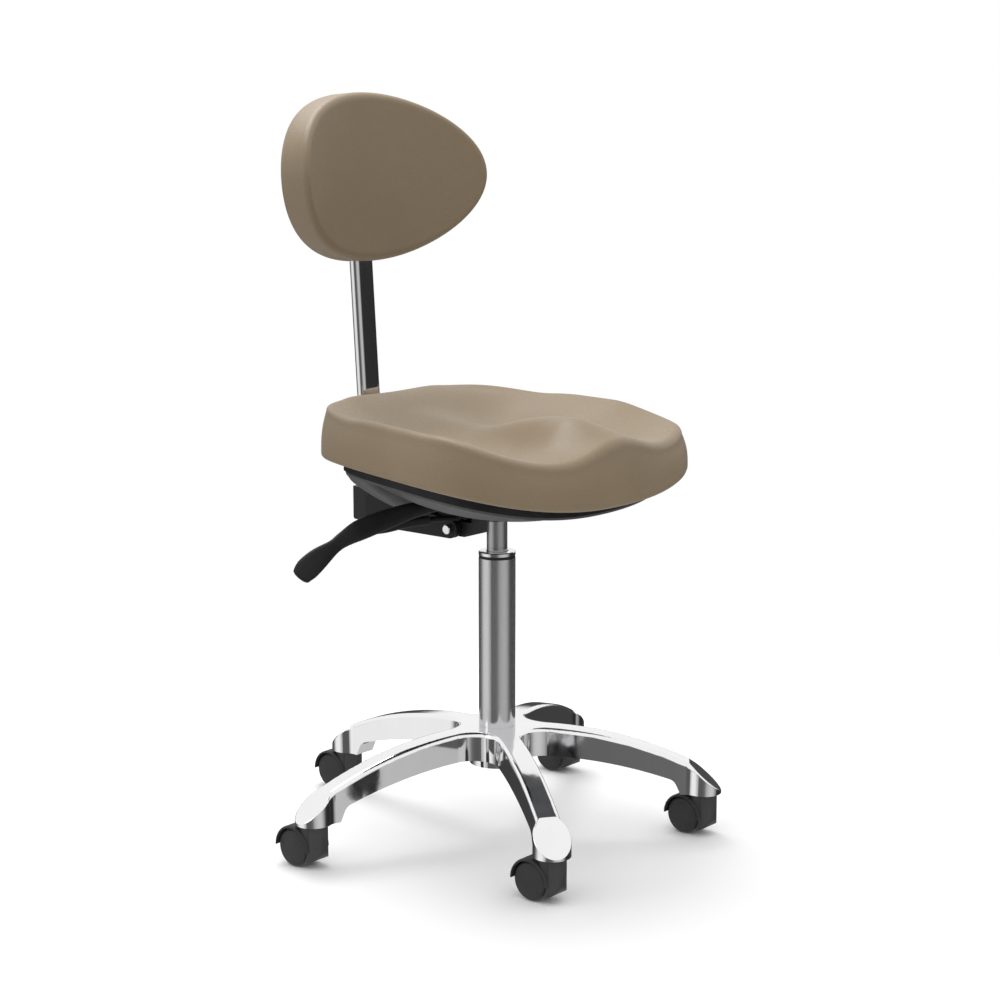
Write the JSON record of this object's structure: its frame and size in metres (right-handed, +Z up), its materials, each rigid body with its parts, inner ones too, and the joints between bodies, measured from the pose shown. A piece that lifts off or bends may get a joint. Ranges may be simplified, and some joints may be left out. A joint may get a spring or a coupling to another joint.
{
  "type": "drum throne",
  "caption": "Height-adjustable swivel throne on a wheeled five-arm base, with a contoured padded seat, two levers and a curved padded back on a bar.",
  "frame": {"origin": "on the floor, under the column axis", "axes": "+Z up; the sitter faces -Y; +X is the sitter's left, so the levers are on -X and the back pad on +Y"},
  "size_m": [0.5872, 0.5884, 1.0032],
  "materials": {
    "polished_aluminium": "polished",
    "chrome": "polished",
    "chrome_satin": "satin",
    "steel": "plain",
    "black_steel": "satin powder coat",
    "black_plastic": "fine moulded grain",
    "grey_plastic": "satin",
    "caster_plastic": "satin",
    "upholstery": "smooth fine grain",
    "board": "raw plywood"
  },
  "bodies": {
    "base": {"star_base": "polished_aluminium", "column_tube": "chrome", "column_collar": "chrome", "guide_bush": "black_plastic", "thrust_bearing": "steel", "retaining_clip": "steel"},
    "piston": {"piston_rod": "steel"},
    "lift": {"gas_cylinder": "chrome_satin", "taper_socket": "black_steel", "mechanism_housing": "black_steel", "pivot_pin": "chrome"},
    "release": {"release_pin": "steel"},
    "height_lever": {"height_lever_rod": "black_steel", "height_lever_handle": "black_plastic"},
    "tilt_lever": {"tilt_lever_rod": "black_steel", "tilt_lever_handle": "black_plastic"},
    "seat": {"seat_plate": "black_steel", "seat_board": "black_plastic", "seat_shell": "grey_plastic", "seat_cushion": "upholstery", "seat_bolts": "steel"},
    "back_frame": {"back_bracket": "black_steel", "bar_socket": "black_plastic", "bar_screws": "steel", "back_bar": "chrome"},
    "back_pad": {"pad_board": "board", "bar_sleeve": "black_plastic", "back_cushion": "upholstery"},
    "knob": {"height_knob": "black_plastic"},
    "caster_1": {"caster_hood_1": "caster_plastic", "caster_stem_1": "steel", "caster_axle_1": "steel"},
    "roller_left_1": {"wheel_left_1": "caster_plastic"},
    "roller_right_1": {"wheel_right_1": "caster_plastic"},
    "caster_2": {"caster_hood_2": "caster_plastic", "caster_stem_2": "steel", "caster_axle_2": "steel"},
    "roller_left_2": {"wheel_left_2": "caster_plastic"},
    "roller_right_2": {"wheel_right_2": "caster_plastic"},
    "caster_3": {"caster_hood_3": "caster_plastic", "caster_stem_3": "steel", "caster_axle_3": "steel"},
    "roller_left_3": {"wheel_left_3": "caster_plastic"},
    "roller_right_3": {"wheel_right_3": "caster_plastic"},
    "caster_4": {"caster_hood_4": "caster_plastic", "caster_stem_4": "steel", "caster_axle_4": "steel"},
    "roller_left_4": {"wheel_left_4": "caster_plastic"},
    "roller_right_4": {"wheel_right_4": "caster_plastic"},
    "caster_5": {"caster_hood_5": "caster_plastic", "caster_stem_5": "steel", "caster_axle_5": "steel"},
    "roller_left_5": {"wheel_left_5": "caster_plastic"},
    "roller_right_5": {"wheel_right_5": "caster_plastic"}
  },
  "joints": [
    {"name": "seat_swivel", "type": "hinge", "parent": "base", "child": "piston", "pos_m": [0, 0, 0.1], "axis": [0, 0, 1], "continuous": true},
    {"name": "seat_height", "type": "slide", "parent": "piston", "child": "lift", "axis": [0, 0, 1], "range_m": [-0.03, 0.15]},
    {"name": "release_valve", "type": "slide", "parent": "lift", "child": "release", "axis": [0, 0, -1], "range_m": [0, 0.0042], "stiffness_N_per_m": 2500, "springref_m": -0.002},
    {"name": "height_lever_lift", "type": "hinge", "parent": "lift", "child": "height_lever", "pos_m": [-0.026, 0.012, 0.467], "axis": [0.6, 0.8, 0], "range_deg": [0, 8], "stiffness_Nm_per_rad": 1.5, "springref_deg": -6.88},
    {"name": "tilt_lever_lift", "type": "hinge", "parent": "lift", "child": "tilt_lever", "pos_m": [-0.03, 0.0315, 0.442], "axis": [0.7317, 0.6816, 0], "range_deg": [0, 10]},
    {"name": "seat_tilt", "type": "hinge", "parent": "lift", "child": "seat", "pos_m": [0, 0.051, 0.422], "axis": [1, 0, 0], "range_deg": [-7, 3]},
    {"name": "back_recline", "type": "hinge", "parent": "lift", "child": "back_frame", "pos_m": [0, 0.051, 0.422], "axis": [-1, 0, 0], "range_deg": [0, 18]},
    {"name": "back_height", "type": "slide", "parent": "back_frame", "child": "back_pad", "axis": [0, 0.0628, 0.998], "range_m": [-0.04, 0.05]},
    {"name": "knob_turn", "type": "hinge", "parent": "back_pad", "child": "knob", "pos_m": [0, 0.24211, 0.82512], "axis": [0, 0.998, -0.0628], "range_deg": [0, 270]},
    {"name": "caster_swivel_1", "type": "hinge", "parent": "base", "child": "caster_1", "pos_m": [0, 0.283, 0.06], "axis": [0, 0, 1], "continuous": true},
    {"name": "wheel_left_roll_1", "type": "hinge", "parent": "caster_1", "child": "roller_left_1", "pos_m": [0, 0.305, 0.0258], "axis": [1, 0, 0], "continuous": true},
    {"name": "wheel_right_roll_1", "type": "hinge", "parent": "caster_1", "child": "roller_right_1", "pos_m": [0, 0.305, 0.0258], "axis": [1, 0, 0], "continuous": true},
    {"name": "caster_swivel_2", "type": "hinge", "parent": "base", "child": "caster_2", "pos_m": [-0.26915, 0.08745, 0.06], "axis": [0, 0, 1], "continuous": true},
    {"name": "wheel_left_roll_2", "type": "hinge", "parent": "caster_2", "child": "roller_left_2", "pos_m": [-0.26915, 0.10945, 0.0258], "axis": [1, 0, 0], "continuous": true},
    {"name": "wheel_right_roll_2", "type": "hinge", "parent": "caster_2", "child": "roller_right_2", "pos_m": [-0.26915, 0.10945, 0.0258], "axis": [1, 0, 0], "continuous": true},
    {"name": "caster_swivel_3", "type": "hinge", "parent": "base", "child": "caster_3", "pos_m": [-0.16634, -0.22895, 0.06], "axis": [0, 0, 1], "continuous": true},
    {"name": "wheel_left_roll_3", "type": "hinge", "parent": "caster_3", "child": "roller_left_3", "pos_m": [-0.16634, -0.20695, 0.0258], "axis": [1, 0, 0], "continuous": true},
    {"name": "wheel_right_roll_3", "type": "hinge", "parent": "caster_3", "child": "roller_right_3", "pos_m": [-0.16634, -0.20695, 0.0258], "axis": [1, 0, 0], "continuous": true},
    {"name": "caster_swivel_4", "type": "hinge", "parent": "base", "child": "caster_4", "pos_m": [0.16634, -0.22895, 0.06], "axis": [0, 0, 1], "continuous": true},
    {"name": "wheel_left_roll_4", "type": "hinge", "parent": "caster_4", "child": "roller_left_4", "pos_m": [0.16634, -0.20695, 0.0258], "axis": [1, 0, 0], "continuous": true},
    {"name": "wheel_right_roll_4", "type": "hinge", "parent": "caster_4", "child": "roller_right_4", "pos_m": [0.16634, -0.20695, 0.0258], "axis": [1, 0, 0], "continuous": true},
    {"name": "caster_swivel_5", "type": "hinge", "parent": "base", "child": "caster_5", "pos_m": [0.26915, 0.08745, 0.06], "axis": [0, 0, 1], "continuous": true},
    {"name": "wheel_left_roll_5", "type": "hinge", "parent": "caster_5", "child": "roller_left_5", "pos_m": [0.26915, 0.10945, 0.0258], "axis": [1, 0, 0], "continuous": true},
    {"name": "wheel_right_roll_5", "type": "hinge", "parent": "caster_5", "child": "roller_right_5", "pos_m": [0.26915, 0.10945, 0.0258], "axis": [1, 0, 0], "continuous": true}
  ],
  "couplings": [
    {"joint": "release_valve", "follows": "height_lever_lift", "m_per_rad": 0.029479}
  ]
}
